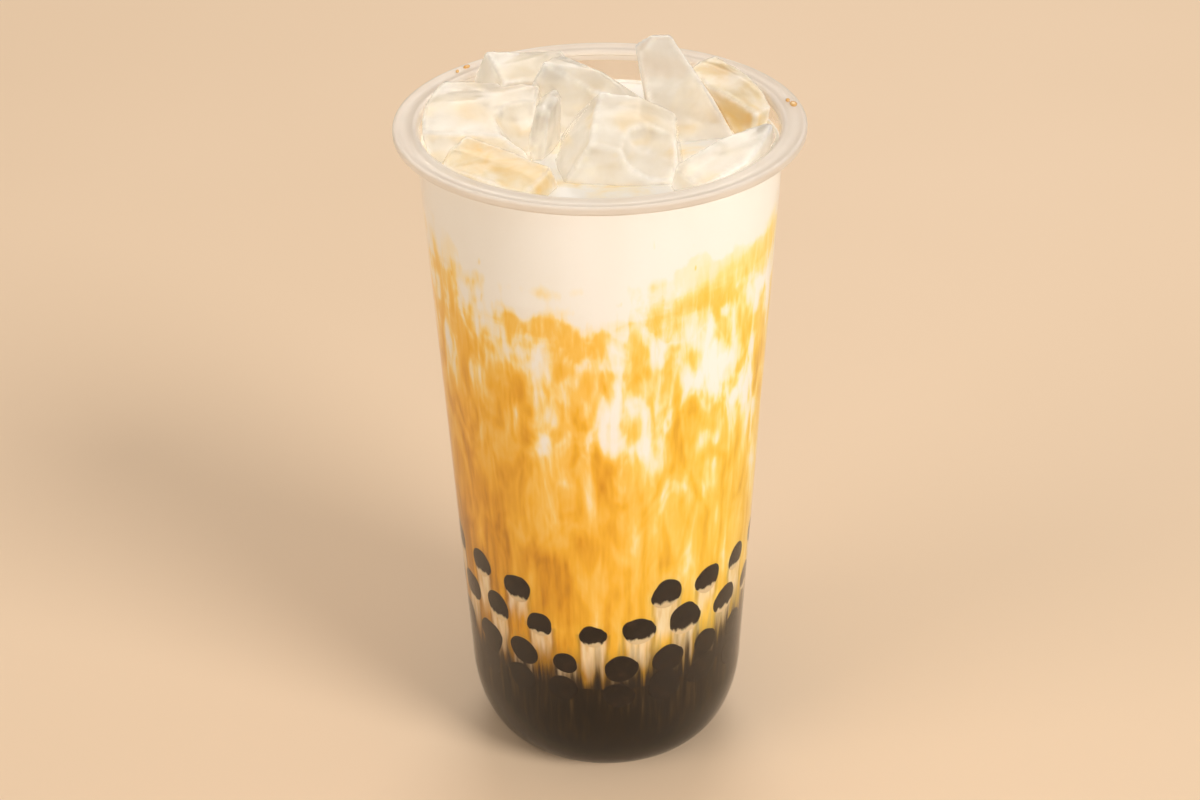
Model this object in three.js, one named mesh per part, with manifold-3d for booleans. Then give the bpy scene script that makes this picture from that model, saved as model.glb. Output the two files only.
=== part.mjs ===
// Brown-sugar bubble tea in a tall clear plastic cup with a rounded bottom.
// Millimetres, +Z up. The origin is the middle of the foot, and the front of the cup faces -Y.
import * as THREE from "three";
import { mergeVertices } from "three/addons/utils/BufferGeometryUtils.js";
import Module from "manifold-3d";

const wasm = await Module();
wasm.setup();

// Cup: a straight tapered wall over an elliptical corner, with a turned-out sealing rim.
const CUP_HEIGHT = 166;
const RIM_RADIUS = 47.5;
const RIM_THICKNESS = 2;
const RIM_EDGE_ROUND = 0.6;
const MOUTH_ROUND = 1;
const WALL_TOP_RADIUS = 42.4;
const WALL_LOW_RADIUS = 34.6;
const CORNER_HEIGHT = 21.9;
const FOOT_RADIUS = 24.3;
const FOOT_WIDTH = 2.2;
const FOOT_RECESS = 0.8;
const WALL = 0.8;
const FLOOR = 1.8;
const WALL_TOP = CUP_HEIGHT - RIM_THICKNESS;

// Drink: a dark bed of pearls in syrup, caramel-streaked milk, and white milk on top.
const CLEARANCE = 0.3;
const BED_HEIGHT = 30.5;
const CARAMEL_HEIGHT = 138;
const MILK_LEVEL = 158;
const SWIRL_RISE = 2.6;

// Tapioca pearls, pressed flat against the wall in staggered rings.
// turn is the first pearl's angle from the front in degrees, and gaps are the places left empty.
const PEARL_RADIUS = 4.9;
const PEARL_SINK = 3.2;
const PEARLS_IN_RING = 18;
const PEARL_SIZE_CHANGE = 0.05;
const PEARL_ANGLE_CHANGE = 1.4;
const PEARL_HEIGHT_CHANGE = 0.8;
const BED_RINGS = [
  { height: 28.9, turn: 3, gaps: [] },
  { height: 36.8, turn: 4.5, gaps: [] },
];
const WALL_RINGS = [
  { height: 47.2, turn: 13.5, gaps: [7, 11] },
  { height: 57.4, turn: 2.5, gaps: [0, 7, 10, 17] },
];

// Facets: the cup and every layer share the same turns, so that their gaps stay even.
const TURNS = 36;
const CORNER_STEPS = 5;
const EDGE_STEPS = 2;
const PEARL_SIDES = 6;
const PEARL_BANDS = 4;
const ICE_STEPS = 2;
const DISH_SIDES = 10;
const DISH_BANDS = 6;

// Ice: rounded blocks, some with the hollow that the ice maker leaves, some broken to a wedge.
// size is width, depth and height, at is the middle, turn is degrees about X, Y and Z.
// taper narrows the top, and hollow is the dish's radius, its middle in half sizes and its depth.
// In the milk no ice comes closer to the wall than its margin, so that milk shows all round the cup.
const ICE_SQUARENESS = 6;
const ICE_UNEVEN = 0.06;
const ICE_MARGIN = 2.4;
const MOUTH_MARGIN = 0.9;
const ICE = {
  ice_centre: {
    size: [36, 34, 26], at: [5.4, -6.6, 158.6], turn: [22, 13, -8], taper: 0.42,
    hollow: { radius: 10.5, middle: [0.34, -0.52], depth: 6.5 },
  },
  ice_tall: { size: [25, 9, 42], at: [19.4, 11.8, 162], turn: [-36, -21, 8], taper: 0.64 },
  ice_back_left: { size: [31, 20, 27], at: [-18, 26, 158.4], turn: [10, 12, 20], taper: 0.3 },
  ice_left: {
    size: [33, 30, 24], at: [-29, 6.5, 156.8], turn: [8, 2, -6], taper: 0.08,
    hollow: { radius: 11, middle: [0.9, -0.32], depth: 9 },
  },
  ice_front_left: { size: [34, 20, 20], at: [-24, -19, 155.8], turn: [12, 4, -28], taper: 0.28 },
  ice_right: { size: [40, 17, 22], at: [31, -17.4, 157], turn: [14, -8, 30], taper: 0.3 },
  ice_back_right: { size: [30, 18, 23], at: [31.5, 19, 157.4], turn: [8, 7, -44], taper: 0.1 },
  ice_back: { size: [34, 13, 28], at: [-4.5, 15, 158.4], turn: [6, 17, -30], taper: 0.2 },
  ice_sliver: { size: [6, 17, 28], at: [-13.2, 1.5, 158.6], turn: [4, 8, -18], taper: 0.35 },
};

// Colours and finishes.
const LOOKS = {
  cup: { color: 0xf4efe6, roughness: 0.25, metalness: 0 },
  syrup: { color: 0x3a2a1f, roughness: 0.35, metalness: 0 },
  pearl: { color: 0x2a1c16, roughness: 0.25, metalness: 0 },
  caramel: { color: 0xf0b95e, roughness: 0.4, metalness: 0 },
  milk: { color: 0xfdf4e3, roughness: 0.4, metalness: 0 },
  ice: { color: 0xf3ead6, roughness: 0.2, metalness: 0 },
};

// A closed solid from any geometry, with shared vertices merged and collapsed faces dropped.
function solidFrom(geometry) {
  const bare = geometry.clone();
  bare.deleteAttribute("normal");
  bare.deleteAttribute("uv");
  const { index, attributes } = mergeVertices(bare, 1e-4);
  const triVerts = [];
  for (let i = 0; i < index.count; i += 3) {
    const [a, b, c] = [index.getX(i), index.getX(i + 1), index.getX(i + 2)];
    if (a !== b && b !== c && c !== a) triVerts.push(a, b, c);
  }
  return new wasm.Manifold(
    new wasm.Mesh({
      numProp: 3,
      vertProperties: attributes.position.array,
      triVerts: new Uint32Array(triVerts),
    }),
  );
}

function geometryFrom(solid) {
  const { vertProperties, triVerts } = solid.getMesh();
  return new THREE.BufferGeometry()
    .setAttribute("position", new THREE.BufferAttribute(vertProperties, 3))
    .setIndex(new THREE.BufferAttribute(triVerts, 1));
}

// The largest body of a solid, without the scraps that a cut leaves.
function largestBody(solid) {
  return solid.decompose().reduce((best, body) => (body.volume() > best.volume() ? body : best));
}

const union = (solids) => solids.reduce((joined, solid) => joined.add(solid));

// A solid of revolution about +Z. Its first facet edge is at the front of the cup.
function turned(points) {
  return new THREE.LatheGeometry(points, TURNS).rotateX(Math.PI / 2);
}

const point = (radius, height) => new THREE.Vector2(radius, height);

// Points on a quarter ellipse about a middle, from one angle to another in radians.
function arc(middle, reach, rise, from, to, steps) {
  return Array.from({ length: steps + 1 }, (_, i) => {
    const angle = from + ((to - from) * i) / steps;
    return point(middle.x + reach * Math.cos(angle), middle.y + rise * Math.sin(angle));
  });
}

// The radius of the cup's wall at a height above the corner, an inset inside its outer face.
function wallRadius(height, inset) {
  const share = (height - CORNER_HEIGHT) / (WALL_TOP - CORNER_HEIGHT);
  return WALL_LOW_RADIUS + (WALL_TOP_RADIUS - WALL_LOW_RADIUS) * share - inset;
}

// The bowl from the edge of its floor up round the corner to a height on the wall.
function bowl(inset, floor, top) {
  const middle = point(FOOT_RADIUS, CORNER_HEIGHT);
  const reach = WALL_LOW_RADIUS - FOOT_RADIUS - inset;
  const corner = arc(middle, reach, CORNER_HEIGHT - floor, -Math.PI / 2, 0, CORNER_STEPS);
  return [...corner, point(wallRadius(top, inset), top)];
}

// The cup from the middle of its underside, up the outside, over the rim and down the inside.
function cupGeometry() {
  const lip = RIM_RADIUS - RIM_EDGE_ROUND;
  const mouth = wallRadius(WALL_TOP, WALL) + MOUTH_ROUND;
  const under = point(lip, WALL_TOP + RIM_EDGE_ROUND);
  const over = point(lip, CUP_HEIGHT - RIM_EDGE_ROUND);
  const inner = point(mouth, CUP_HEIGHT - MOUTH_ROUND);
  return turned([
    point(0, FOOT_RECESS),
    point(FOOT_RADIUS - FOOT_WIDTH - FOOT_RECESS, FOOT_RECESS),
    point(FOOT_RADIUS - FOOT_WIDTH, 0),
    ...bowl(0, 0, WALL_TOP),
    ...arc(under, RIM_EDGE_ROUND, RIM_EDGE_ROUND, -Math.PI / 2, 0, EDGE_STEPS),
    ...arc(over, RIM_EDGE_ROUND, RIM_EDGE_ROUND, 0, Math.PI / 2, EDGE_STEPS),
    ...arc(inner, MOUTH_ROUND, MOUTH_ROUND, Math.PI / 2, Math.PI, EDGE_STEPS),
    ...bowl(WALL, FLOOR, WALL_TOP).reverse(),
    point(0, FLOOR),
  ]);
}

// What fills the cup up to the level of the milk.
function filling() {
  const inset = WALL + CLEARANCE;
  const floor = FLOOR + CLEARANCE;
  const wall = bowl(inset, floor, MILK_LEVEL);
  return solidFrom(turned([point(0, floor), ...wall, point(0, MILK_LEVEL)]));
}

// Everything below a height, out past the wall. A swirl raises and lowers its top round the cup.
function below(height, swirlRise = 0) {
  const rings = [1, 2 / 3, 1 / 3, 0].map((share) => point(RIM_RADIUS * share, height));
  const geometry = turned([point(0, -1), point(RIM_RADIUS, -1), ...rings]);
  const place = geometry.getAttribute("position");
  for (let i = 0; i < place.count; i++) {
    if (place.getZ(i) < 0) continue;
    const [x, y] = [place.getX(i), place.getY(i)];
    const angle = Math.atan2(x, -y);
    const wave = 0.7 * Math.sin(2 * angle - 2) + 0.3 * Math.sin(5 * angle + 1);
    place.setZ(i, height + swirlRise * wave * (Math.hypot(x, y) / RIM_RADIUS));
  }
  return solidFrom(geometry);
}

// A ring's pearls, each a little off its even place by a rule. The bed is layer 0.
function ringOfPearls(ring, layer) {
  const pearls = [];
  for (let i = 0; i < PEARLS_IN_RING; i++) {
    if (ring.gaps.includes(i)) continue;
    const turn = ring.turn + (360 / PEARLS_IN_RING) * i;
    const shift = PEARL_ANGLE_CHANGE * Math.sin(1.3 * i + 2.7 * layer + 1.3);
    pearls.push({
      angle: THREE.MathUtils.degToRad(turn + shift),
      height: ring.height + PEARL_HEIGHT_CHANGE * Math.sin(1.3 * i + 1.4 * layer + 5.6),
      radius: PEARL_RADIUS * (1 + PEARL_SIZE_CHANGE * Math.sin(7.3 * i + layer)),
    });
  }
  return pearls;
}

// A pearl that isn't pressed flat yet, grown by a gap where it is to cut its place in the drink.
function roundPearl({ angle, height, radius }, gap = 0) {
  const reach = wallRadius(height, WALL + CLEARANCE) - PEARL_SINK;
  const ball = new THREE.SphereGeometry(radius + gap, PEARL_SIDES, PEARL_BANDS);
  ball.rotateY(Math.PI / PEARL_SIDES);
  ball.rotateZ(angle);
  ball.translate(reach * Math.sin(angle), -reach * Math.cos(angle), height);
  return solidFrom(ball);
}

// A block of ice in its place, before its hollow is cut, grown by a gap where it is to cut the milk.
function iceBlock({ size, at, turn, taper }, gap = 0) {
  const block = new THREE.BoxGeometry(2, 2, 2, ICE_STEPS, ICE_STEPS, ICE_STEPS);
  const place = block.getAttribute("position");
  const corner = new THREE.Vector3();
  for (let i = 0; i < place.count; i++) {
    corner.fromBufferAttribute(place, i);
    const powers = corner.toArray().map((side) => Math.abs(side) ** ICE_SQUARENESS);
    corner.divideScalar((powers[0] + powers[1] + powers[2]) ** (1 / ICE_SQUARENESS));
    const bump = Math.sin(3.1 * corner.x + at[0]) * Math.cos(2.7 * corner.y - at[1] + 1.9 * corner.z);
    const narrowing = 1 - (taper * (corner.z + 1)) / 2;
    corner.multiplyScalar(1 + ICE_UNEVEN * bump);
    corner.set(
      corner.x * (size[0] / 2 + gap) * narrowing,
      corner.y * (size[1] / 2 + gap) * narrowing,
      corner.z * (size[2] / 2 + gap),
    );
    place.setXYZ(i, ...corner.toArray());
  }
  return placed(block, at, turn);
}

function iceHollow({ size, at, turn, hollow }) {
  const dish = new THREE.SphereGeometry(1, DISH_SIDES, DISH_BANDS).rotateX(Math.PI / 2);
  dish.scale(hollow.radius, hollow.radius, hollow.depth * 1.6);
  const [across, along] = hollow.middle;
  dish.translate((across * size[0]) / 2, (along * size[1]) / 2, size[2] / 2 + hollow.depth * 0.6);
  return placed(dish, at, turn);
}

function placed(geometry, at, turn) {
  const angles = turn.map(THREE.MathUtils.degToRad);
  const matrix = new THREE.Matrix4().makeRotationFromEuler(new THREE.Euler(...angles));
  return solidFrom(geometry.applyMatrix4(matrix.setPosition(...at)));
}

// The space inside the wall and straight up out of the mouth where the ice can lie,
// grown by a gap where it is to cut the milk.
function mouthSpace(gap) {
  const inMilk = WALL + ICE_MARGIN - gap;
  const inMouth = WALL + MOUTH_MARGIN - gap;
  const edge = point(wallRadius(WALL_TOP, inMouth), WALL_TOP);
  return solidFrom(
    turned([
      point(0, CARAMEL_HEIGHT),
      point(wallRadius(CARAMEL_HEIGHT, inMilk), CARAMEL_HEIGHT),
      point(wallRadius(MILK_LEVEL, inMilk), MILK_LEVEL),
      edge,
      point(edge.x, 2 * CUP_HEIGHT),
      point(0, 2 * CUP_HEIGHT),
    ]),
  );
}

const drink = new THREE.Group();

function add(name, geometry, look) {
  const mesh = new THREE.Mesh(geometry, new THREE.MeshStandardMaterial(LOOKS[look]));
  mesh.name = name;
  drink.add(mesh);
}

function addSolid(name, solid, look) {
  add(name, geometryFrom(largestBody(solid)), look);
}

add("cup", cupGeometry(), "cup");

const bedPearls = BED_RINGS.flatMap((ring) => ringOfPearls(ring, 0));
const wallRings = WALL_RINGS.map((ring, i) => ringOfPearls(ring, i + 1));
const full = filling();
const bed = union([below(BED_HEIGHT), ...bedPearls.map((pearl) => roundPearl(pearl))]);
addSolid("pearl_bed", bed.intersect(full), "syrup");

wallRings.forEach((ring, number) => {
  ring.forEach((pearl, i) => {
    const name = `pearl_${"ab"[number]}${String(i + 1).padStart(2, "0")}`;
    addSolid(name, roundPearl(pearl).intersect(full), "pearl");
  });
});

// The caramel is cut clear of the bed and the pearls.
const allPearls = [...bedPearls, ...wallRings.flat()];
const pearlSpaces = allPearls.map((pearl) => roundPearl(pearl, CLEARANCE));
const bedSpace = union([below(BED_HEIGHT + CLEARANCE), ...pearlSpaces]);
const caramel = full.intersect(below(CARAMEL_HEIGHT, SWIRL_RISE));
addSolid("caramel_milk", caramel.subtract(bedSpace), "caramel");

// The milk is cut clear of the caramel and the ice.
const ices = Object.entries(ICE);
const nearMouth = mouthSpace(CLEARANCE);
const iceSpaces = ices.map(([, spec]) => iceBlock(spec, CLEARANCE).intersect(nearMouth));
const caramelSpace = below(CARAMEL_HEIGHT + CLEARANCE, SWIRL_RISE);
addSolid("milk", full.subtract(union([caramelSpace, ...iceSpaces])), "milk");

// Each piece of ice is kept inside the mouth and off the pieces before it.
const mouth = mouthSpace(0);
ices.forEach(([name, spec], number) => {
  let piece = iceBlock(spec).intersect(mouth);
  if (spec.hollow) piece = piece.subtract(iceHollow(spec));
  for (const other of iceSpaces.slice(0, number)) piece = piece.subtract(other);
  addSolid(name, piece, "ice");
});

export default drink;
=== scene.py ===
import math
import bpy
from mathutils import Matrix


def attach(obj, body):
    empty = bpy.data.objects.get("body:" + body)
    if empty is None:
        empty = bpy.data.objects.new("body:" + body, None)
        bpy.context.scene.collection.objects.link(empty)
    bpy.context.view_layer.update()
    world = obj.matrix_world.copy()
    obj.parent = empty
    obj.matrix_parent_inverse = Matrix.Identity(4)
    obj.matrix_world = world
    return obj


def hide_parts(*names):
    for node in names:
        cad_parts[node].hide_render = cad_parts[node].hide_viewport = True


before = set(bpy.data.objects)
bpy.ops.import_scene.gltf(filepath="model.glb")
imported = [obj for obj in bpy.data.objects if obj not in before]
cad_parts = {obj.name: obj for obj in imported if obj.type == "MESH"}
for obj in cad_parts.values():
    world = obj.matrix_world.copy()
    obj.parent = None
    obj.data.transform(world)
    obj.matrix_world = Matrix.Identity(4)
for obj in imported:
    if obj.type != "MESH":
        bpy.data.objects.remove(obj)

from types import SimpleNamespace

import bmesh
import bpy
from mathutils import Matrix, Vector, noise

scene = bpy.context.scene
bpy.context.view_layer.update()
MM = 0.001

# Points nearer than this, in metres, are one point. Edges that bend more than this, in degrees, are sharp.
SAME_POINT = 1e-6
SHARP_BEND = 50

# Cup sizes in millimetres, the same as the solids have.
CUP_HEIGHT = 166
RIM_RADIUS = 47.5
RIM_THICKNESS = 2
RIM_EDGE_ROUND = 0.6
MOUTH_ROUND = 1
WALL_TOP_RADIUS = 42.4
WALL_LOW_RADIUS = 34.6
CORNER_HEIGHT = 21.9
FOOT_RADIUS = 24.3
FOOT_WIDTH = 2.2
FOOT_RECESS = 0.8
WALL = 0.8
FLOOR = 1.8
WALL_TOP = CUP_HEIGHT - RIM_THICKNESS

# Finer forms of the cup: the rim's top dips between a bead at its edge and one at the mouth.
BEAD = 0.5
RIM_DIP = 0.3
RIM_FILLET = 0.6
MILKY_FROM = WALL_TOP - 0.8

# How finely round forms are cut.
TURNS = 160
FINE_TURNS = 400
CORNER_STEPS = 14
WALL_STEPS = 16
EDGE_STEPS = 5
FILLET_STEPS = 3
MOUTH_STEPS = 6

# The drink reaches halfway into the wall, so that no air shows behind the plastic.
DRINK_INSET = WALL / 2
DRINK_FLOOR = FLOOR - WALL / 2
BED_HEIGHT = 30.5
CARAMEL_HEIGHT = 138
MILK_LEVEL = 158
FILM_TOP = 163

# The wave between caramel and milk, as in the solids: rise, each part's share, turns and start, rings.
SWIRL_RISE = 2.6
SWIRL_WAVES = [(0.7, 2, -2), (0.3, 5, 1)]
SWIRL_RINGS = [0, 14, 28]

# Pearls: height of a ring, its first angle from the front in degrees, its empty places, its layer.
PEARL_RADIUS = 4.9
PEARL_SIZE_CHANGE = 0.05
PEARL_ANGLE_CHANGE = 1.4
PEARL_HEIGHT_CHANGE = 0.8
PEARL_SINK = 3.0
PEARL_SINK_CHANGE = 0.45
PEARLS_IN_RING = 18
BED_RINGS = [(28.9, 3, (), 0), (36.8, 4.5, (), 0)]
WALL_RINGS = [(47.2, 13.5, (7, 11), 1), (57.4, 2.5, (0, 7, 10, 17), 2)]

ICE = [
    "ice_centre", "ice_tall", "ice_back_left", "ice_left",
    "ice_front_left", "ice_right", "ice_back_right", "ice_back", "ice_sliver",
]
STAINED_ICE = ["ice_front_left", "ice_back_right"]


# Colours.
def linear(channel):
    """One channel of a screen colour, 0 to 255, as shaders take it."""
    share = channel / 255
    if channel < 11:
        return share / 12.92
    return ((share + 0.055) / 1.055) ** 2.4


def paint(red, green, blue):
    return (linear(red), linear(green), linear(blue), 1)


# Node helpers.
def new_look(name):
    look = bpy.data.materials.new(name)
    look.use_nodes = True
    tree = look.node_tree
    tree.nodes.clear()
    shader = tree.nodes.new("ShaderNodeBsdfPrincipled")
    output = tree.nodes.new("ShaderNodeOutputMaterial")
    tree.links.new(shader.outputs["BSDF"], output.inputs["Surface"])
    return look, tree, shader, output


def node(tree, kind, inputs=None, **settings):
    made = tree.nodes.new("ShaderNode" + kind)
    for key, value in settings.items():
        setattr(made, key, value)
    for key, value in (inputs or {}).items():
        feed(tree, made.inputs[key], value)
    return made


def feed(tree, socket, value):
    if isinstance(value, bpy.types.NodeSocket):
        tree.links.new(value, socket)
    else:
        socket.default_value = value


def set_shader(tree, shader, values):
    for name, value in values.items():
        feed(tree, shader.inputs[name], value)


def object_place(tree):
    return node(tree, "TexCoord").outputs["Object"]


def attribute(tree, name):
    return node(tree, "Attribute", attribute_name=name).outputs["Fac"]


def calc(tree, operation, *values):
    made = node(tree, "Math", operation=operation)
    for socket, value in zip(made.inputs, values):
        feed(tree, socket, value)
    return made.outputs[0]


def times(tree, first, second):
    return calc(tree, "MULTIPLY", first, second)


def add_share(tree, total, value, share):
    """A total plus a share of a value."""
    return calc(tree, "ADD", total, times(tree, value, share))


def ramp(tree, value, stops):
    """A colour or grey that follows a value through stops of (place, colour)."""
    made = node(tree, "ValToRGB", {"Fac": value})
    elements = made.color_ramp.elements
    while len(elements) < len(stops):
        elements.new(1)
    for element, (place, colour) in zip(elements, stops):
        element.position = place
        element.color = colour if isinstance(colour, tuple) else (colour, colour, colour, 1)
    return made.outputs["Color"]


def grain(tree, place, stretch, detail, distortion=0.0, turn=(0, 0, 0)):
    """Noise whose grains are stretch long along X, Y and Z, in millimetres."""
    scale = tuple(1 / (MM * length) for length in stretch)
    mapping = node(tree, "Mapping", {"Vector": place, "Scale": scale, "Rotation": turn})
    texture = node(tree, "TexNoise", {
        "Vector": mapping.outputs[0], "Scale": 1, "Detail": detail, "Distortion": distortion,
    })
    return texture.outputs["Fac"]


def centred(tree, place, stretch, **settings):
    """The same noise about nought instead of a half."""
    return calc(tree, "SUBTRACT", grain(tree, place, stretch, **settings), 0.5)


# A Mix node's sockets for colours share their names with others, so they go by number.
MIX_AMOUNT = 0
MIX_FIRST = 6
MIX_SECOND = 7
MIX_RESULT = 2


def blend(tree, amount, first, second):
    made = node(tree, "Mix", data_type="RGBA", clamp_factor=True)
    feed(tree, made.inputs[MIX_AMOUNT], amount)
    feed(tree, made.inputs[MIX_FIRST], first)
    feed(tree, made.inputs[MIX_SECOND], second)
    return made.outputs[MIX_RESULT]


def bump(tree, shader, height, strength, depth):
    """Fine relief, at most depth millimetres high."""
    made = node(tree, "Bump", {"Height": height, "Strength": strength, "Distance": depth * MM})
    tree.links.new(made.outputs["Normal"], shader.inputs["Normal"])


def let_lamps_through(tree, shader, output, tint):
    """Light from the lamps goes straight through the plastic or ice, so that what is inside is lit."""
    path = node(tree, "LightPath")
    clear = node(tree, "BsdfTransparent", {"Color": tint})
    mix = node(tree, "MixShader", {
        0: path.outputs["Is Shadow Ray"], 1: shader.outputs[0], 2: clear.outputs[0],
    })
    tree.links.new(mix.outputs[0], output.inputs["Surface"])


# The look of the cup.
PLASTIC_BEND = 1.49
PLASTIC_SHINE = 0.1
CLEAR_TONES = (paint(253, 251, 248), paint(248, 244, 238))
MILKY_TONES = (paint(232, 222, 209), paint(227, 216, 202))


def plastic_look(name, pale, dull, milkiness, roughness):
    """Clear or milky plastic with faint clouds, in a pale and a duller tone, and a faint ripple."""
    look, tree, shader, output = new_look(name)
    place = object_place(tree)
    cloud = grain(tree, place, (14, 14, 40), detail=2)
    set_shader(tree, shader, {
        "Base Color": ramp(tree, cloud, [(0.3, dull), (0.7, pale)]),
        "Roughness": roughness,
        "IOR": PLASTIC_BEND,
        "Specular IOR Level": PLASTIC_SHINE,
        "Transmission Weight": 1 - milkiness,
    })
    bump(tree, shader, grain(tree, place, (9, 9, 30), detail=1), strength=0.1, depth=0.3)
    let_lamps_through(tree, shader, output, (1, 1, 1, 1))
    return look


# The look of the streaked drink. Levels are shares of the cup's height.
DRINK_HALF_WIDTH = 40
SIDE_SAG = 0.07
SIDE_TILT = 0.035
DRIFT = 0.2
# Less caramel to the right and more to the left: partly real caramel, partly painted shade on the side away
# from the key lamp.
LESS_CARAMEL_AND_PAINTED_SHADE_TO_THE_RIGHT = 0.12
YELLOWER_TO_THE_RIGHT = 0.014
SAME_HUE = 0.5

# How much caramel is in the milk, by level, from 0 for none to 1 for the darkest.
CARAMEL = [
    (0.18, 0.75), (0.40, 0.71), (0.54, 0.62), (0.64, 0.51),
    (0.74, 0.45), (0.80, 0.31), (0.85, 0.14), (0.91, 0.02),
]
# Extra caramel at the left, low down: partly real caramel, partly painted shade on the side away from the key
# lamp.
MORE_CARAMEL_AND_PAINTED_SHADE_LEFT = [(0.3, 0.22), (0.55, 0.16), (0.72, 0.0)]
MORE_RIGHT = [(0.62, 0.0), (0.74, 0.13), (0.84, 0.1), (0.9, 0.0)]
MOST_CARAMEL = [(0.5, 1.0), (0.66, 0.84), (0.76, 0.63), (0.88, 0.5)]
MOST_CARAMEL_SOFTNESS = 0.15

# How strong each pattern is, by level.
PATCH_GAIN = [(0.25, 0.5), (0.46, 0.95), (0.62, 1.5), (0.80, 1.2), (0.90, 0.2)]
BLOT_GAIN = [(0.5, 0.0), (0.66, 0.6), (0.80, 0.8), (0.90, 0.3)]
SWOOSH_GAIN = [(0.66, 0.0), (0.76, 0.5), (0.86, 0.7), (0.95, 0.2)]
BRUSH_GAIN = [(0.3, 0.25), (0.6, 0.4), (0.80, 0.5), (0.90, 0.05)]
STREAK_GAIN = [(0.2, 0.7), (0.33, 0.45), (0.44, 0.22), (0.65, 0.12), (0.85, 0.0)]
SPECK_GAIN = [(0.8, 0.0), (0.84, 1.0), (0.9, 0.8), (0.95, 0.2)]
SPECKS = [(0.71, 0.0), (0.84, 0.5)]

# The pale wash at the upper right: its middle and reach in millimetres, and its rise to the back.
WASH_X = 25
WASH_Z = 147
WASH_REACH = (17, 11, 16)
WASH_RISE = 0.25
WASH_RAGGED = 3.0
WASH = [(0.0, 0.45), (0.7, 0.38), (1.0, 0.2)]

# The band of wisps below the milk: its height and half its width in millimetres, and its slopes.
BAND_Z = 137
BAND_HALF_WIDTH = 6
BAND_SLOPE_X = 0.2
BAND_SLOPE_Y = 0.12
BAND_WANDER = 16
BAND = [(0.0, 1.0), (0.3, 0.75), (1.0, 0.0)]
WISPS = [(0.34, 0.04), (0.6, 0.22)]

# Colours from plain milk to the darkest caramel, then those of the tails and of the bed's edge.
CARAMEL_COLOURS = [
    (0.27, paint(243, 239, 232)), (0.39, paint(245, 233, 206)), (0.48, paint(246, 221, 152)),
    (0.57, paint(246, 205, 102)), (0.72, paint(241, 189, 57)), (0.88, paint(224, 164, 35)),
    (1.0, paint(195, 136, 23)),
]
TAIL_COLOURS = [(0.3, paint(222, 192, 140)), (0.5, paint(240, 221, 182)), (0.7, paint(246, 234, 208))]
TAIL_EDGE_COLOUR = paint(104, 60, 12)
BED_HAZE_COLOUR = paint(104, 66, 18)
BED_EDGE_COLOUR = paint(26, 17, 9)
BED_HAZE = [(0.185, 0.9), (0.21, 0.6), (0.255, 0.0)]
BED_EDGE = [(0.175, 1.0), (0.19, 0.8), (0.212, 0.0)]
BED_STREAKS = 0.11
BED_SAG = 0.5


def drink_places(tree, place):
    """A place in the drink: its axes, how far right and left it lies, its level, and the sag at the sides."""
    axes = node(tree, "SeparateXYZ", {"Vector": place}).outputs
    across = times(tree, axes["X"], 1 / (DRINK_HALF_WIDTH * MM))
    side = times(tree, times(tree, across, across), SIDE_SAG)
    right = calc(tree, "MAXIMUM", across, 0.0)
    return SimpleNamespace(
        x=axes["X"], y=axes["Y"], z=axes["Z"], across=across, right=right,
        left=calc(tree, "SUBTRACT", right, across),
        side=add_share(tree, side, across, SIDE_TILT),
        level=times(tree, axes["Z"], 1 / (CUP_HEIGHT * MM)),
    )


def caramel_by_height(tree, place, at):
    """The even part of the caramel: less of it higher up, and more of it at the left, partly real caramel and
    partly painted shade on the side away from the key lamp.
    """
    drift = centred(tree, place, (17, 17, 20), detail=2)
    height = add_share(tree, calc(tree, "SUBTRACT", at.level, at.side), drift, DRIFT)
    amount = add_share(tree, ramp(tree, height, CARAMEL), at.across, -LESS_CARAMEL_AND_PAINTED_SHADE_TO_THE_RIGHT)
    amount = add_share(tree, amount, at.left, ramp(tree, at.level, MORE_CARAMEL_AND_PAINTED_SHADE_LEFT))
    return add_share(tree, amount, at.right, ramp(tree, at.level, MORE_RIGHT))


def add_clouds(tree, place, at, amount, patches):
    """Upright patches, rounder blots, and long swooshes that lie across the top of the caramel."""
    blots = centred(tree, place, (7, 7, 13), detail=2, distortion=0.8)
    swoosh = centred(tree, place, (30, 30, 7), detail=1, distortion=0.4, turn=(0, 0.32, 0))
    for pattern, gain in ((patches, PATCH_GAIN), (blots, BLOT_GAIN), (swoosh, SWOOSH_GAIN)):
        amount = add_share(tree, amount, pattern, ramp(tree, at.level, gain))
    return amount


def add_wash(tree, place, at, amount):
    """Caramel that reaches high up at the right, and fades out round the back."""
    middle = calc(tree, "MULTIPLY_ADD", at.y, WASH_RISE, WASH_Z * MM)
    offsets = (
        calc(tree, "SUBTRACT", at.x, WASH_X * MM),
        calc(tree, "SUBTRACT", at.z, middle),
        calc(tree, "MAXIMUM", at.y, 0.0),
    )
    away = 0.0
    for offset, reach in zip(offsets, WASH_REACH):
        share = times(tree, offset, 1 / (reach * MM))
        away = calc(tree, "ADD", away, calc(tree, "POWER", share, 2))
    away = add_share(tree, away, centred(tree, place, (9, 9, 12), detail=4), WASH_RAGGED)
    return calc(tree, "MAXIMUM", amount, ramp(tree, away, WASH))


def add_band(tree, place, at, amount):
    """Loose wisps of caramel round the cup below the milk, on a path that rises to the right and the back."""
    path = add_share(tree, at.z, at.x, -BAND_SLOPE_X)
    path = add_share(tree, path, at.y, -BAND_SLOPE_Y)
    path = add_share(tree, path, centred(tree, place, (20, 20, 30), detail=3), BAND_WANDER * MM)
    away = calc(tree, "ABSOLUTE", calc(tree, "SUBTRACT", path, BAND_Z * MM))
    band = ramp(tree, times(tree, away, 1 / (BAND_HALF_WIDTH * MM)), BAND)
    wisps = ramp(tree, grain(tree, place, (16, 16, 5), detail=3, turn=(0, 0.2, 0)), WISPS)
    return add_share(tree, amount, band, wisps)


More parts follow.
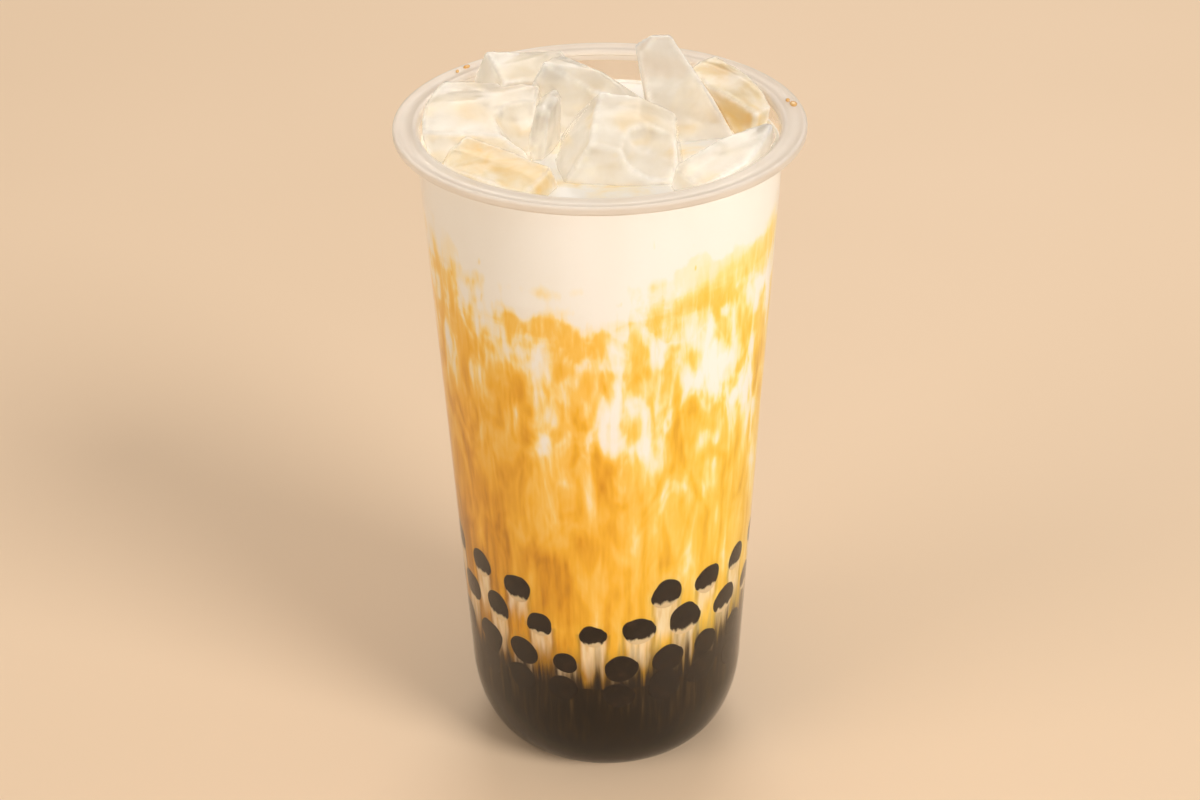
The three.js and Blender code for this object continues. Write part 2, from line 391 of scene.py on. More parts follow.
def add_fine_marks(tree, place, at, amount, streaks):
    """Brush marks, long upright streaks, and a few specks in the milk."""
    brush = centred(tree, place, (2.0, 2.0, 11), detail=3, distortion=0.4)
    specks = ramp(tree, grain(tree, place, (2.4, 2.4, 6.5), detail=1), SPECKS)
    for pattern, gain in ((brush, BRUSH_GAIN), (streaks, STREAK_GAIN), (specks, SPECK_GAIN)):
        amount = add_share(tree, amount, pattern, ramp(tree, at.level, gain))
    return amount


def caramel_colour(tree, at, amount):
    hue = calc(tree, "MULTIPLY_ADD", at.right, YELLOWER_TO_THE_RIGHT, SAME_HUE)
    colour = ramp(tree, amount, CARAMEL_COLOURS)
    return node(tree, "HueSaturation", {"Hue": hue, "Color": colour}).outputs[0]


def add_tails(tree, place, colour):
    """The pale tails under the pearls and their dark edges, from the mesh's own attributes."""
    cream = ramp(tree, grain(tree, place, (1.3, 1.3, 9), detail=3), TAIL_COLOURS)
    colour = blend(tree, attribute(tree, "tail"), colour, cream)
    return blend(tree, attribute(tree, "tail_edge"), colour, TAIL_EDGE_COLOUR)


def darken_to_bed(tree, at, colour, streaks):
    """The caramel turns brown and then dark, in ragged streaks, where it meets the bed."""
    level = add_share(tree, at.level, streaks, BED_STREAKS)
    level = add_share(tree, level, at.side, -BED_SAG)
    colour = blend(tree, ramp(tree, level, BED_HAZE), colour, BED_HAZE_COLOUR)
    return blend(tree, ramp(tree, level, BED_EDGE), colour, BED_EDGE_COLOUR)


def drink_look():
    """Milk with caramel in it: white at the top, streaked in the middle, brown above the bed."""
    look, tree, shader, _ = new_look("caramel_and_milk")
    place = object_place(tree)
    at = drink_places(tree, place)
    patches = centred(tree, place, (6.5, 6.5, 17), detail=2.4, distortion=0.7, turn=(0.12, 0.2, 0.6))
    streaks = centred(tree, place, (1.6, 1.6, 30), detail=2, distortion=0.15)
    amount = caramel_by_height(tree, place, at)
    amount = add_clouds(tree, place, at, amount, patches)
    amount = add_wash(tree, place, at, amount)
    amount = add_band(tree, place, at, amount)
    most = ramp(tree, at.level, MOST_CARAMEL)
    amount = calc(tree, "SMOOTH_MIN", amount, most, MOST_CARAMEL_SOFTNESS)
    amount = add_fine_marks(tree, place, at, amount, streaks)
    colour = add_tails(tree, place, caramel_colour(tree, at, amount))
    colour = darken_to_bed(tree, at, colour, streaks)
    set_shader(tree, shader, {"Base Color": colour, "Roughness": 0.45, "Specular IOR Level": 0.08})
    bump(tree, shader, patches, strength=0.1, depth=0.3)
    return look


# The other looks.
MILK_TOP_COLOURS = [
    (0.46, paint(233, 228, 219)), (0.60, paint(236, 222, 194)),
    (0.72, paint(236, 204, 142)), (0.84, paint(226, 178, 98)),
]
TAPIOCA_COLOURS = [(0.3, paint(20, 12, 7)), (0.55, paint(30, 19, 11)), (0.75, paint(50, 32, 18))]
CREAM_COLOUR = paint(228, 204, 160)
CREAM = [(0.2, 0.95), (0.27, 0.0)]
CREAM_RAGGED = 0.28
CREAM_PATCHY = 0.35
SYRUP_STREAKS = [
    (0.35, paint(18, 11, 4)), (0.5, paint(34, 22, 9)), (0.62, paint(62, 43, 19)), (0.75, paint(92, 68, 36)),
]
SYRUP_CLOUDS = [(0.35, paint(18, 11, 5)), (0.65, paint(30, 20, 10))]
SYRUP_STREAKED = [(0.35, 0.12), (0.95, 0.9)]
DROP_COLOURS = [(0.35, paint(236, 172, 92)), (0.65, paint(248, 206, 140))]
ICE_WHITE = paint(248, 244, 237)
# The ice's edges, partly real frost and partly a painted highlight: their white, and how much less clear they
# make the ice.
FROST_AND_HIGHLIGHT_WHITE = paint(252, 249, 243)
FROST_AND_HIGHLIGHT_CLOUDING = 0.35
ICE_SHADOW = (0.93, 0.92, 0.9, 1)
ICE_BEND = 1.31
ICE_GLOW = (1.0, 0.95, 0.85)
ICE_GLOW_DEPTH = 6


def milk_top_look():
    """The open milk between the ice, where syrup has run into it."""
    look, tree, shader, _ = new_look("tea_stained_milk")
    place = object_place(tree)
    stain = grain(tree, place, (11, 11, 11), detail=3, distortion=0.6)
    set_shader(tree, shader, {"Base Color": ramp(tree, stain, MILK_TOP_COLOURS), "Roughness": 0.3})
    bump(tree, shader, grain(tree, place, (3, 3, 3), detail=2), strength=0.1, depth=0.3)
    return look


def pearl_look():
    """Dark tapioca, with ragged cream over the lower part of each pearl."""
    look, tree, shader, _ = new_look("tapioca")
    place = object_place(tree)
    mottle = grain(tree, place, (2.2, 2.2, 2.2), detail=3)
    ragged = centred(tree, place, (1.3, 1.3, 3.5), detail=3)
    patchy = centred(tree, place, (7, 7, 7), detail=1)
    rise = add_share(tree, attribute(tree, "rise"), ragged, CREAM_RAGGED)
    rise = add_share(tree, rise, patchy, CREAM_PATCHY)
    tapioca_colour = ramp(tree, mottle, TAPIOCA_COLOURS)
    colour = blend(tree, ramp(tree, rise, CREAM), tapioca_colour, CREAM_COLOUR)
    set_shader(tree, shader, {"Base Color": colour, "Roughness": 0.3, "Specular IOR Level": 0.05})
    bump(tree, shader, mottle, strength=0.15, depth=0.2)
    return look


def syrup_look():
    """Dark syrup, cloudy at the bottom and streaked higher up."""
    look, tree, shader, _ = new_look("brown_sugar_syrup")
    place = object_place(tree)
    lines = grain(tree, place, (1.1, 1.1, 16), detail=3)
    clouds = grain(tree, place, (9, 9, 9), detail=2)
    axes = node(tree, "SeparateXYZ", {"Vector": place}).outputs
    height = times(tree, axes["Z"], 1 / (BED_HEIGHT * MM))
    streaked = ramp(tree, lines, SYRUP_STREAKS)
    plain = ramp(tree, clouds, SYRUP_CLOUDS)
    colour = blend(tree, ramp(tree, height, SYRUP_STREAKED), plain, streaked)
    set_shader(tree, shader, {"Base Color": colour, "Roughness": 0.35, "Specular IOR Level": 0.02})
    bump(tree, shader, lines, strength=0.08, depth=0.2)
    return look


def ice_look(name, clear, tint, deep):
    """Cloudy wet ice. clear is the share of light that goes through, deep the colour of its cracks."""
    look, tree, shader, output = new_look(name)
    place = object_place(tree)
    cloud = grain(tree, place, (9, 9, 9), detail=3, distortion=0.4)
    colour = ramp(tree, cloud, [(0.3, deep), (0.5, tint), (0.7, ICE_WHITE)])
    # The edges are whiter and less clear: partly frost, partly a painted highlight.
    frost_and_highlight = attribute(tree, "frost_and_highlight")
    set_shader(tree, shader, {
        "Base Color": blend(tree, frost_and_highlight, colour, FROST_AND_HIGHLIGHT_WHITE),
        "Transmission Weight": add_share(tree, clear, frost_and_highlight, -FROST_AND_HIGHLIGHT_CLOUDING),
        "Roughness": 0.06,
        "IOR": ICE_BEND,
        "Subsurface Weight": 0.5,
        "Subsurface Radius": ICE_GLOW,
        "Subsurface Scale": ICE_GLOW_DEPTH * MM,
    })
    bump(tree, shader, grain(tree, place, (1.6, 1.6, 1.6), detail=3), strength=0.1, depth=0.4)
    let_lamps_through(tree, shader, output, ICE_SHADOW)
    return look


def drop_look():
    look, tree, shader, _ = new_look("syrup_drops")
    depth = grain(tree, object_place(tree), (1.2, 1.2, 1.2), detail=2)
    colour = ramp(tree, depth, DROP_COLOURS)
    set_shader(tree, shader, {"Base Color": colour, "Roughness": 0.08, "Transmission Weight": 0.1})
    return look


# Shape helpers. Outlines are points of radius and height in millimetres.
def arc(middle, reach, rise, start, end, steps):
    turns = [math.radians(start + (end - start) * i / steps) for i in range(steps + 1)]
    return [(middle[0] + reach * math.cos(t), middle[1] + rise * math.sin(t)) for t in turns]


def round_edge(radius, height, size, start, end, steps):
    return arc((radius, height), size, size, start, end, steps)


def wall_radius(height, inset):
    share = (height - CORNER_HEIGHT) / (WALL_TOP - CORNER_HEIGHT)
    return WALL_LOW_RADIUS + (WALL_TOP_RADIUS - WALL_LOW_RADIUS) * share - inset


def corner(inset, floor):
    reach = WALL_LOW_RADIUS - FOOT_RADIUS - inset
    return arc((FOOT_RADIUS, CORNER_HEIGHT), reach, CORNER_HEIGHT - floor, -90, 0, CORNER_STEPS)


def climb(inset, low, high, steps):
    """Points straight up the wall from one height to another."""
    heights = [low + (high - low) * i / steps for i in range(steps + 1)]
    return [(wall_radius(z, inset), z) for z in heights]


def spun(outline, steps):
    bm = bmesh.new()
    verts = [bm.verts.new((radius * MM, 0, height * MM)) for radius, height in outline]
    edges = [bm.edges.new(pair) for pair in zip(verts, verts[1:])]
    bmesh.ops.spin(
        bm, geom=verts + edges, cent=(0, 0, 0), axis=(0, 0, 1), angle=math.tau, steps=steps, use_merge=True
    )
    return bm


def merge_points(bm):
    bmesh.ops.remove_doubles(bm, verts=bm.verts, dist=SAME_POINT)


def finish_piece(name, bm, look, slot, *solids):
    """Closes the shape, makes it a piece of the drink and hides the solids it stands for."""
    merge_points(bm)
    bmesh.ops.recalc_face_normals(bm, faces=bm.faces)
    for face in bm.faces:
        face.smooth = True
    for edge in bm.edges:
        edge.smooth = edge.calc_face_angle(0) < math.radians(SHARP_BEND)
    mesh = bpy.data.meshes.new(name)
    bm.to_mesh(mesh)
    bm.free()
    mesh.materials.append(look)
    piece = bpy.data.objects.new(name, mesh)
    scene.collection.objects.link(piece)
    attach(piece, "root")
    if solids:
        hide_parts(*solids)
    return piece


def front_angle(point):
    """The angle round the cup from its front, -Y, to a point."""
    return math.atan2(point.x, -point.y)


def spread(point):
    """How far a point lies from the cup's axis."""
    return math.hypot(point.x, point.y)


def fade(value, start, end):
    """Runs smoothly from 0 at start to 1 at end."""
    share = min(max((value - start) / (end - start), 0), 1)
    return share * share * (3 - 2 * share)


def keep_inside(vert, inset):
    """Moves a point straight in to the wall's face, less an inset, if it lies outside it."""
    limit = wall_radius(min(vert.co.z / MM, WALL_TOP), inset)
    reach = spread(vert.co) / MM
    if reach > limit:
        vert.co.x *= limit / reach
        vert.co.y *= limit / reach


# The cup.
def rim_outline():
    """From the top of the wall out under the rim, round its edge and in over the beads to the mouth."""
    lip = RIM_RADIUS - RIM_EDGE_ROUND
    mouth = wall_radius(WALL_TOP, WALL) + MOUTH_ROUND
    dip = CUP_HEIGHT - RIM_DIP
    fillet = (WALL_TOP_RADIUS + RIM_FILLET, WALL_TOP - RIM_FILLET)
    outline = arc(fillet, -RIM_FILLET, RIM_FILLET, 0, 90, FILLET_STEPS)[1:]
    outline += round_edge(lip, WALL_TOP + RIM_EDGE_ROUND, RIM_EDGE_ROUND, -90, 0, EDGE_STEPS)
    outline += round_edge(lip, CUP_HEIGHT - RIM_EDGE_ROUND, RIM_EDGE_ROUND, 0, 90, EDGE_STEPS)
    outline += [(lip - BEAD, CUP_HEIGHT), (lip - 2 * BEAD, dip)]
    outline += [(mouth + 2 * BEAD, dip), (mouth + BEAD, CUP_HEIGHT)]
    outline += round_edge(mouth, CUP_HEIGHT - MOUTH_ROUND, MOUTH_ROUND, 90, 180, MOUTH_STEPS)
    outline.append((mouth - MOUTH_ROUND + RIM_DIP, CUP_HEIGHT - MOUTH_ROUND - RIM_DIP))
    return outline


def cup_outline():
    """From the middle of the underside up the outside, over the rim and down the inside."""
    foot = FOOT_RADIUS - FOOT_WIDTH
    outline = [(0, FOOT_RECESS), (foot - FOOT_RECESS, FOOT_RECESS)]
    outline += [(foot, 0), (FOOT_RADIUS - FOOT_WIDTH / 2, 0)]
    outline += corner(0, 0)
    outline += climb(0, CORNER_HEIGHT, WALL_TOP - RIM_FILLET, WALL_STEPS)[1:]
    outline += rim_outline()
    outline += climb(WALL, CORNER_HEIGHT, WALL_TOP, WALL_STEPS)[::-1]
    outline += corner(WALL, FLOOR)[::-1][1:]
    outline.append((0, FLOOR))
    return outline


def make_cup():
    clear = plastic_look("clear_plastic", *CLEAR_TONES, milkiness=0.0, roughness=0.04)
    milky = plastic_look("milky_rim_plastic", *MILKY_TONES, milkiness=0.6, roughness=0.35)
    cup = finish_piece("cup_shell", spun(cup_outline(), TURNS), clear, "cup", "cup")
    cup.data.materials.append(milky)
    for face in cup.data.polygons:
        if face.center.z > MILKY_FROM * MM:
            face.material_index = 1


# The wave between the caramel and the milk.
def swirl(bm):
    """Gives the top of the caramel, or the underside of the milk, the same wave as the solids."""
    for vert in bm.verts:
        if abs(vert.co.z - CARAMEL_HEIGHT * MM) < SAME_POINT:
            angle = front_angle(vert.co)
            wave = sum(share * math.sin(turns * angle + start) for share, turns, start in SWIRL_WAVES)
            reach = spread(vert.co) / (RIM_RADIUS * MM)
            vert.co.z += SWIRL_RISE * wave * reach * MM


# Pearls have the angles, heights and sizes of the solids' pearls.
def pearl_places(rings):
    """The angle, height and radius of each pearl, a little uneven from one to the next."""
    for height, turn, gaps, layer in rings:
        for i in range(PEARLS_IN_RING):
            if i in gaps:
                continue
            shift = PEARL_ANGLE_CHANGE * math.sin(1.3 * i + 2.7 * layer + 1.3)
            lift = PEARL_HEIGHT_CHANGE * math.sin(1.3 * i + 1.4 * layer + 5.6)
            growth = 1 + PEARL_SIZE_CHANGE * math.sin(7.3 * i + layer)
            angle = math.radians(turn + 360 / PEARLS_IN_RING * i + shift)
            yield angle, height + lift, PEARL_RADIUS * growth


# The caramel's mesh has finer rows as high as the tails under the pearls reach.
TAILS_TOP = 60
FINE_ROWS_TOP = 63
FINE_ROWS = 54
PLAIN_ROWS = 20

# Tails under the pearls, in millimetres. Width and taper are shares of the pearl's radius.
TAIL_DROP = 20
TAIL_SPREAD = 7
TAIL_LENGTH = 12.5
TAIL_LENGTH_CHANGE = 3.5
TAIL_WIDTH = 0.66
TAIL_TAPER = 0.012
TAIL_WIDTH_CHANGE = 0.35
TAIL_WANDER = 1.2
TAIL_WANDER_DROP = 14
TAIL_SOFTNESS = 0.5
TAIL_RAGGED = 4
TAIL_FADE = (-5, 2)
TAIL_EDGE_OFFSET = 0.45
TAIL_EDGE_FADE = (0.1, 0.75)
TAIL_EDGE_STRENGTH = 0.6
OUTSIDE_MARGIN = 0.5


def rough(*place):
    """Smooth noise at a place given by three numbers."""
    return noise.noise(Vector(place))


def one_tail(number, pearl, turn, height, radius):
    """What one pearl's tail, and the tail's dark edge, leave at a place on the wall."""
    angle, middle, size = pearl
    drop = middle - height
    away = ((turn - angle + math.pi) % math.tau - math.pi) * radius
    if drop < 0 or drop > TAIL_DROP or abs(away) > TAIL_SPREAD:
        return 0, 0
    wander = TAIL_WANDER * rough(number * 3.7, height * 0.16, 0.5)
    ragged = rough(away * 0.9, height * 0.12, number * 1.9)
    length = TAIL_LENGTH + TAIL_LENGTH_CHANGE * math.sin(number * 2.1)
    half = size * (TAIL_WIDTH - TAIL_TAPER * drop) + TAIL_WIDTH_CHANGE * rough(number, height * 0.35, 3)
    off = abs(away - wander * drop / TAIL_WANDER_DROP)
    inside = 1 - fade(off, half - TAIL_SOFTNESS, half + TAIL_SOFTNESS)
    end, gone = length + TAIL_FADE[0], length + TAIL_FADE[1]
    strength = (1 - fade(drop + TAIL_RAGGED * ragged, end, gone)) * (0.8 + 0.2 * ragged)
    line = 1 - fade(abs(off - half - TAIL_EDGE_OFFSET), *TAIL_EDGE_FADE)
    broken = max(0, 0.75 + 0.5 * rough(away, height * 0.2, number))
    return inside * strength, line * strength * broken


def tail_at(turn, height, radius, pearls):
    """How much a place on the wall lies in the pale tail under a pearl, and on the tail's dark edge."""
    marks = [one_tail(number, pearl, turn, height, radius) for number, pearl in enumerate(pearls)]
    tail = max(mark[0] for mark in marks)
    edge = max(mark[1] for mark in marks)
    return tail, TAIL_EDGE_STRENGTH * edge * (1 - tail * 0.5)


def mark_tails(bm):
    """Writes the tails onto the outside of the caramel, for its look to read."""
    tail_layer = bm.verts.layers.float.new("tail")
    edge_layer = bm.verts.layers.float.new("tail_edge")
    pearls = list(pearl_places(BED_RINGS[1:] + WALL_RINGS))
    for vert in bm.verts:
        height = vert.co.z / MM
        radius = spread(vert.co) / MM
        if height <= TAILS_TOP and radius >= wall_radius(height, DRINK_INSET) - OUTSIDE_MARGIN:
            vert[tail_layer], vert[edge_layer] = tail_at(front_angle(vert.co), height, radius, pearls)


# The drink's layers, in millimetres. The caramel starts a little below the bed's top, so no gap shows.
CARAMEL_LOW = BED_HEIGHT - 0.7
CARAMEL_FLAT_EDGE = 3
MILK_ROWS = 10
FILM_ROWS = 6
FILM_THICKNESS = 0.12
FILM_EDGE = 0.4
FILM_AT_SIDES = 0.56
FILM_FRONT_TO_BACK = 0.44
MILK_RIPPLE = 0.3
MILK_RIPPLE_LENGTH = 7
RIPPLE_MARGIN = 1.5
FACING_UP = 0.5
BED_INSET = DRINK_INSET + 0.05
BED_CLIMB = 0.6
BED_ROWS = 6
BED_FLAT_EDGE = 3
BED_RING = 16

# The curve of the milk's edge at the wall: how far in and up. Then its rings, as shares of its width.
MILK_EDGE = [(0.15, 1.2), (0.45, 0.5), (1, 0.15), (2, 0)]
MILK_RINGS = [0.86, 0.76, 0.66, 0.56, 0.46, 0.36, 0.26, 0.16, 0.08, 0]


def make_caramel(look):
    flat_edge = wall_radius(CARAMEL_LOW, DRINK_INSET) - CARAMEL_FLAT_EDGE
    outline = [(0, CARAMEL_LOW), (flat_edge, CARAMEL_LOW)]
    outline += climb(DRINK_INSET, CARAMEL_LOW, FINE_ROWS_TOP, FINE_ROWS)
    outline += climb(DRINK_INSET, FINE_ROWS_TOP, CARAMEL_HEIGHT, PLAIN_ROWS)[1:]
    outline += [(radius, CARAMEL_HEIGHT) for radius in reversed(SWIRL_RINGS)]
    bm = spun(outline, FINE_TURNS)
    merge_points(bm)
    swirl(bm)
    mark_tails(bm)
    finish_piece("caramel_milk_layer", bm, look, "caramel", "caramel_milk")


def milk_outline():
    """From the middle of the wave out to the wall, up to the film's top and down to the open milk."""
    width = wall_radius(MILK_LEVEL, WALL)
    film_edge = FILM_TOP - FILM_EDGE
    outline = [(radius, CARAMEL_HEIGHT) for radius in SWIRL_RINGS]
    outline += climb(DRINK_INSET, CARAMEL_HEIGHT, MILK_LEVEL, MILK_ROWS)
    outline += climb(DRINK_INSET, MILK_LEVEL, FILM_TOP, FILM_ROWS)[1:]
    outline.append((wall_radius(film_edge, WALL + FILM_THICKNESS), film_edge))
    outline += [(width - inward, MILK_LEVEL + up) for inward, up in MILK_EDGE]
    outline += [(width * share, MILK_LEVEL) for share in MILK_RINGS]
    return outline


def lower_film(vert):
    """Brings the film down along the wall, from its full height at the front to a trace at the back."""
    share = FILM_AT_SIDES + FILM_FRONT_TO_BACK * math.cos(front_angle(vert.co))
    height = MILK_LEVEL + (vert.co.z / MM - MILK_LEVEL) * share
    inset = wall_radius(vert.co.z / MM, 0) - spread(vert.co) / MM
    scale = wall_radius(height, inset) / spread(vert.co) * MM
    vert.co = (vert.co.x * scale, vert.co.y * scale, height * MM)


def make_milk(look):
    bm = spun(milk_outline(), TURNS)
    merge_points(bm)
    swirl(bm)
    open_milk = (wall_radius(MILK_LEVEL, WALL) - RIPPLE_MARGIN) * MM
    for vert in bm.verts:
        if abs(vert.co.z - MILK_LEVEL * MM) < SAME_POINT and spread(vert.co) < open_milk:
            vert.co.z += MILK_RIPPLE * MM * noise.noise(vert.co / (MILK_RIPPLE_LENGTH * MM))
        elif vert.co.z > MILK_LEVEL * MM:
            lower_film(vert)
    milk = finish_piece("milk_layer", bm, look, "milk", "milk")
    milk.data.materials.append(milk_top_look())
    for face in milk.data.polygons:
        if face.normal.z > FACING_UP and face.center.z > (MILK_LEVEL - 1) * MM:
            face.material_index = 1


def make_bed(look):
    outline = [(0, DRINK_FLOOR)] + corner(BED_INSET, DRINK_FLOOR)
    outline += climb(BED_INSET, CORNER_HEIGHT, BED_HEIGHT + BED_CLIMB, BED_ROWS)[1:]
    flat_edge = wall_radius(BED_HEIGHT, BED_FLAT_EDGE)
    outline += [(radius, BED_HEIGHT) for radius in (flat_edge, BED_RING, 0)]
    finish_piece("syrup_bed", spun(outline, TURNS), look, "syrup", "pearl_bed")


# Pearl shapes. Cream lies only on those that stand higher than the bed's own.
CREAM_FROM = 42
PEARL_SIDES = 36
PEARL_BANDS = 28
PEARL_LUMP = 0.16
PEARL_LUMP_LENGTH = 5.5
PEARL_INSET = DRINK_INSET - 0.08


def pearl_ball(number, angle, height, size):
    """One soft round pearl, pressed flat where it lies against the wall."""
    reach = wall_radius(height, DRINK_INSET) - (PEARL_SINK + PEARL_SINK_CHANGE * math.sin(5.1 * number))
    middle = Vector((reach * math.sin(angle), -reach * math.cos(angle), height)) * MM
    facing = Matrix.Rotation(angle, 4, "Z") @ Matrix.Rotation(math.radians(90), 4, "X")
    put = Matrix.Translation(middle) @ facing
    ball = bmesh.new()
    bmesh.ops.create_uvsphere(
        ball, u_segments=PEARL_SIDES, v_segments=PEARL_BANDS, radius=size * MM, matrix=put
    )
    rise_layer = ball.verts.layers.float.new("rise")
    for vert in ball.verts:
        out = vert.co - middle
        lump = noise.noise(out / (PEARL_LUMP_LENGTH * MM) + Vector((number * 5.3, 0, 0)))
        vert.co = middle + out * (1 + PEARL_LUMP * lump)
        vert[rise_layer] = 1 if height < CREAM_FROM else 0.5 + out.z / (2 * size * MM)
        keep_inside(vert, PEARL_INSET)
    return ball


def make_pearls(name, rings, look, slot, solids):
    """All the pearls of some rings, as one piece."""
    bm = bmesh.new()
    single = bpy.data.meshes.new(name + "_single")
    for number, pearl in enumerate(pearl_places(rings)):
        ball = pearl_ball(number, *pearl)
        ball.to_mesh(single)
        ball.free()
        bm.from_mesh(single)
    finish_piece(name, bm, look, slot, *solids)


# The ice, with sizes in millimetres. Ripples have a height and a length.
ICE_CELL = 0.55
MELT_STEPS = 3
# The frost and painted highlight on the ice's edges: how sharp an edge starts and fills them, how far they
# spread, and their gain.
FROST_AND_HIGHLIGHT_FROM = 1.004
FROST_AND_HIGHLIGHT_FULL = 1.04
FROST_AND_HIGHLIGHT_SPREAD = 3
FROST_AND_HIGHLIGHT_GAIN = 1.3
ICE_RIPPLES = [(0.18, 6), (0.05, 2)]
ICE_INSET = WALL + 0.1


def melted_block(name):
    """A block in its solid's form, with an even mesh and melted edges."""
    bm = bmesh.new()
    bm.from_mesh(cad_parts[name].data)
    merge_points(bm)
    rough_mesh = bpy.data.meshes.new(name + "_rough")
    bm.to_mesh(rough_mesh)
    bm.free()
    block = bpy.data.objects.new(name + "_rough", rough_mesh)
    scene.collection.objects.link(block)
    block.modifiers.new("even", "REMESH").voxel_size = ICE_CELL * MM
    block.modifiers.new("melt", "SMOOTH").iterations = MELT_STEPS
    bpy.context.view_layer.update()
    finished = block.evaluated_get(bpy.context.evaluated_depsgraph_get())
    melted = bpy.data.meshes.new_from_object(finished)
    bpy.data.objects.remove(block)
    bm = bmesh.new()
    bm.from_mesh(melted)
    bm.normal_update()
    return bm


def mark_frost_and_highlight(bm):
    """Writes frost and a painted highlight along the edges, spread a little over the faces beside them, for
    the look to read.
    """
    frost_and_highlight_layer = bm.verts.layers.float.new("frost_and_highlight")
    frost_and_highlight = [fade(vert.calc_shell_factor(), FROST_AND_HIGHLIGHT_FROM, FROST_AND_HIGHLIGHT_FULL) for vert in bm.verts]
    bm.verts.index_update()
    for _ in range(FROST_AND_HIGHLIGHT_SPREAD):
        frost_and_highlight = [
            (frost_and_highlight[vert.index] + sum(frost_and_highlight[edge.other_vert(vert).index] for edge in vert.link_edges))
            / (1 + len(vert.link_edges)) for vert in bm.verts
        ]
    for vert in bm.verts:
        vert[frost_and_highlight_layer] = min(1, FROST_AND_HIGHLIGHT_GAIN * frost_and_highlight[vert.index])


def make_ice(name, look):
    """A melted block with the ripples of wet ice, kept off the wall."""
    bm = melted_block(name)
    mark_frost_and_highlight(bm)
    for vert in bm.verts:
        wave = sum(noise.noise(vert.co / (length * MM)) * height for height, length in ICE_RIPPLES)
        vert.co += vert.normal * wave * MM
        keep_inside(vert, ICE_INSET)
    finish_piece("cloudy_" + name, bm, look, "ice", name)


# Drops of syrup on the rim: angle from the front in degrees, radius, width, length.
DROPS = [(99.5, 45.6, 1.7, 2.6), (102.5, 44.9, 1.0, 1.4), (-136, 45.8, 1.2, 1.9), (-131.5, 45.3, 0.7, 0.9)]
DROP_HEIGHT = 0.45
DROP_SINK = 0.1
DROP_SIDES = 20
DROP_BANDS = 12


def make_drops():
    bm = bmesh.new()
    for angle, radius, width, length in DROPS:
        turn = Matrix.Rotation(math.radians(angle), 4, "Z")
        size = Matrix.Diagonal((length * MM / 2, width * MM / 2, DROP_HEIGHT * MM, 1))
        middle = (0, -radius * MM, CUP_HEIGHT * MM - DROP_SINK * MM)
        put = turn @ Matrix.Translation(middle) @ size
        bmesh.ops.create_uvsphere(bm, u_segments=DROP_SIDES, v_segments=DROP_BANDS, radius=1, matrix=put)
    finish_piece("syrup_drops", bm, drop_look(), "caramel")


make_cup()
drink = drink_look()
make_caramel(drink)
make_milk(drink)
make_bed(syrup_look())
tapioca = pearl_look()
make_pearls("bed_pearls", BED_RINGS, tapioca, "syrup", ["pearl_bed"])
wall_nodes = [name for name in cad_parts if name.startswith("pearl_") and name != "pearl_bed"]
make_pearls("wall_pearls", WALL_RINGS, tapioca, "pearl", wall_nodes)
pale_ice = ice_look("cloudy_ice", clear=0.66, tint=paint(233, 228, 219), deep=paint(226, 218, 206))
amber_ice = ice_look("tea_stained_ice", clear=0.62, tint=paint(234, 219, 186), deep=paint(230, 190, 110))
for block_name in ICE:
    make_ice(block_name, amber_ice if block_name in STAINED_ICE else pale_ice)
make_drops()


# The stage and the lamps, in metres: a lamp's name, place, width, power and colour.
STAGE_REACH = 6
STAGE_COLOURS = [(0.3, paint(237, 208, 174)), (0.7, paint(241, 212, 179))]
LAMP_TARGET = Vector((0, 0, 0.09))
LAMPS = [
    ("key_front_right", (1.60, -1.40, 1.61), 1.1, 39.2, (1.0, 0.978, 0.955)),
    ("fill_left", (-2.2, -1.2, 1.15), 1.7, 22.5, (1.0, 0.91, 0.81)),
    ("back_top", (0.2, 1.8, 1.71), 1.6, 16.5, (1.0, 0.97, 0.935)),
]
ROOM_COLOUR = (1.0, 0.935, 0.865, 1)
ROOM_STRENGTH = 0.38


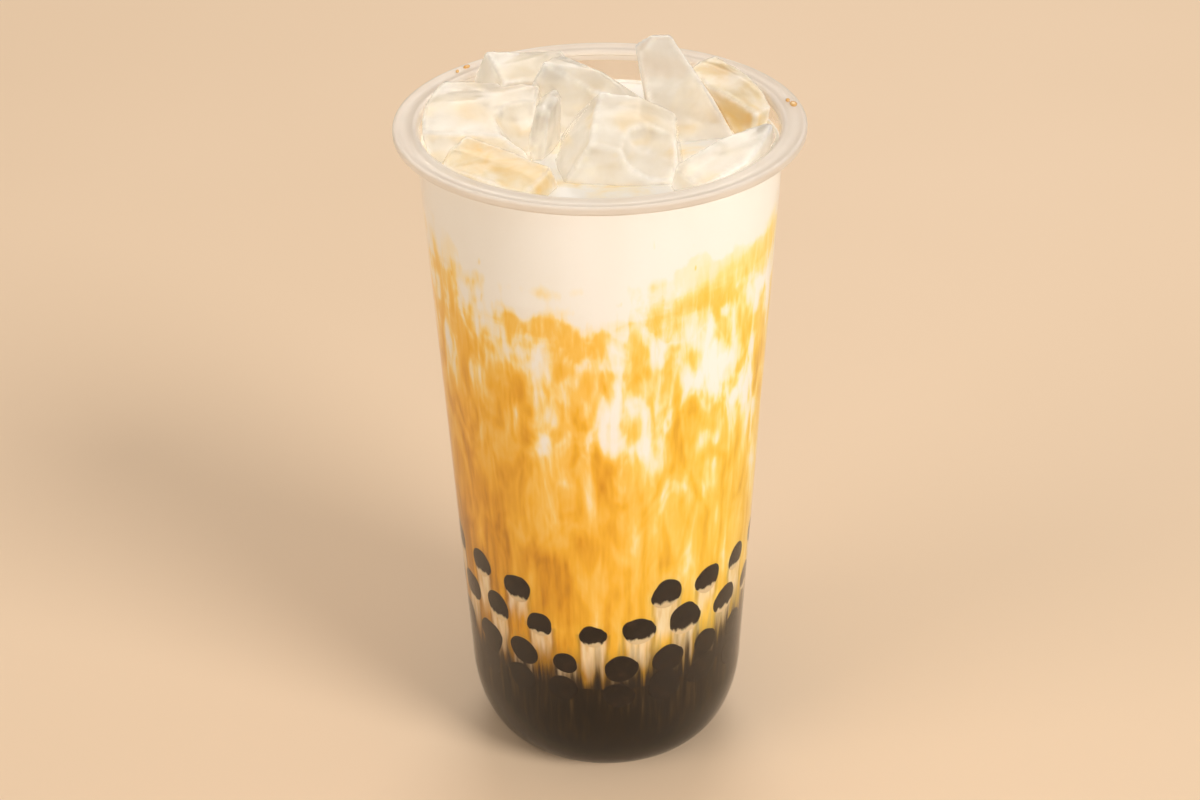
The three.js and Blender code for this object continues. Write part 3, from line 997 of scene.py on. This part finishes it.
def make_floor():
    bm = bmesh.new()
    bmesh.ops.create_grid(bm, x_segments=2, y_segments=2, size=STAGE_REACH)
    mesh = bpy.data.meshes.new("pale_floor")
    bm.to_mesh(mesh)
    bm.free()
    look, tree, shader, _ = new_look("pale_floor")
    clouds = grain(tree, object_place(tree), (300, 300, 300), detail=2)
    set_shader(tree, shader, {"Base Color": ramp(tree, clouds, STAGE_COLOURS), "Roughness": 0.6})
    mesh.materials.append(look)
    floor = bpy.data.objects.new("pale_floor", mesh)
    scene.collection.objects.link(floor)


def make_lamp(name, place, size, power, colour):
    lamp = bpy.data.lights.new(name, "AREA")
    lamp.shape = "DISK"
    lamp.size = size
    lamp.energy = power
    lamp.color = colour
    holder = bpy.data.objects.new(name, lamp)
    holder.location = place
    aim = LAMP_TARGET - Vector(place)
    holder.rotation_euler = aim.to_track_quat("-Z", "Y").to_euler()
    scene.collection.objects.link(holder)


def make_room():
    world = bpy.data.worlds.new("soft_room")
    world.use_nodes = True
    room = world.node_tree.nodes["Background"].inputs
    room["Color"].default_value = ROOM_COLOUR
    room["Strength"].default_value = ROOM_STRENGTH
    scene.world = world


# The camera: its tilts in degrees, and its distance and target in millimetres.
CAMERA_PITCH = 30.07
CAMERA_ROLL = -0.81
CAMERA_DISTANCE = 587.0
CAMERA_TARGET = (-0.83, 0, 91.64)
CAMERA_LENS = 72
CAMERA_SENSOR = 36
CAMERA_NEAREST = 0.01


def make_camera():
    """Looks along +Y and down, a little to the left of the cup's axis and turned a little."""
    pitch, roll = math.radians(CAMERA_PITCH), math.radians(CAMERA_ROLL)
    ahead = Vector((0, math.cos(pitch), -math.sin(pitch)))
    right = Vector((1, 0, 0))
    up = right.cross(ahead)
    screen_right = right * math.cos(roll) + up * math.sin(roll)
    screen_up = up * math.cos(roll) - right * math.sin(roll)
    target = Vector([value * MM for value in CAMERA_TARGET])
    camera = bpy.data.cameras.new("photo_camera")
    camera.lens = CAMERA_LENS
    camera.sensor_width = CAMERA_SENSOR
    camera.clip_start = CAMERA_NEAREST
    holder = bpy.data.objects.new("photo_camera", camera)
    facing = Matrix((screen_right, screen_up, -ahead)).transposed().to_4x4()
    holder.matrix_world = Matrix.Translation(target - ahead * (CAMERA_DISTANCE * MM)) @ facing
    scene.collection.objects.link(holder)
    scene.camera = holder


make_floor()
for lamp_values in LAMPS:
    make_lamp(*lamp_values)
make_room()
make_camera()
scene.view_settings.view_transform = "Standard"
